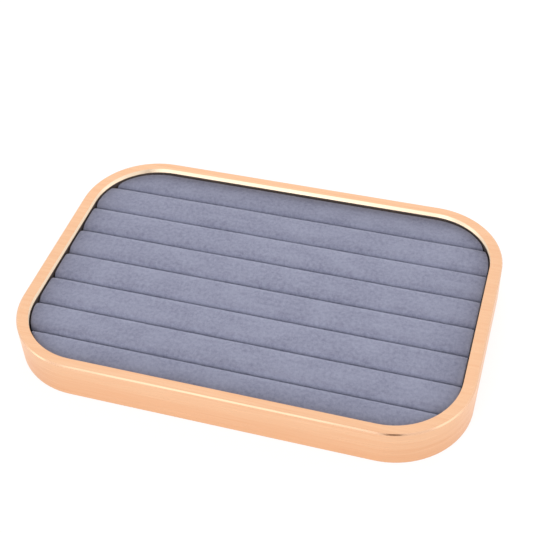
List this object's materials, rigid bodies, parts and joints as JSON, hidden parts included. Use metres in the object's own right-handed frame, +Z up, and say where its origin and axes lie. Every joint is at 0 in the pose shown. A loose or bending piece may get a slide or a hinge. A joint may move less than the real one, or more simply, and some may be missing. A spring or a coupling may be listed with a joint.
{
  "type": "ring display tray",
  "caption": "Low rectangular ring display tray with round corners: a brushed rose-gold metal frame round a lift-out insert of padded microfibre rolls with ring slots between them",
  "frame": {"origin": "middle of the felt's underside, on the table", "axes": "+X along the rolls and the long side, +Y to the back, +Z up"},
  "size_m": [0.3, 0.204, 0.0275],
  "materials": {
    "rose_metal": "linear brushed steel with a rose-gold coating, outer edge cut bright",
    "fibreboard": "dark dyed fibreboard, sanded",
    "zinc_screw": "bright zinc plate",
    "base_felt": "pressed felt, charcoal",
    "foam": "open-cell foam, cut",
    "microfibre": "short-napped microfibre suede, blue grey"
  },
  "bodies": {
    "tray": {"rim_plate": "rose_metal", "outer_wall": "rose_metal", "inner_wall": "rose_metal", "base_board": "fibreboard", "board_screws": "zinc_screw", "base_felt": "base_felt"},
    "insert": {"insert_board": "fibreboard", "foam_core_1": "foam", "foam_core_2": "foam", "foam_core_3": "foam", "foam_core_4": "foam", "foam_core_5": "foam", "foam_core_6": "foam", "foam_core_7": "foam", "foam_core_8": "foam", "roll_cover_1": "microfibre", "roll_cover_2": "microfibre", "roll_cover_3": "microfibre", "roll_cover_4": "microfibre", "roll_cover_5": "microfibre", "roll_cover_6": "microfibre", "roll_cover_7": "microfibre", "roll_cover_8": "microfibre"}
  },
  "joints": [
    {"name": "insert_lift", "type": "slide", "parent": "tray", "child": "insert", "axis": [0, 0, 1], "range_m": [0, 0.04]}
  ]
}
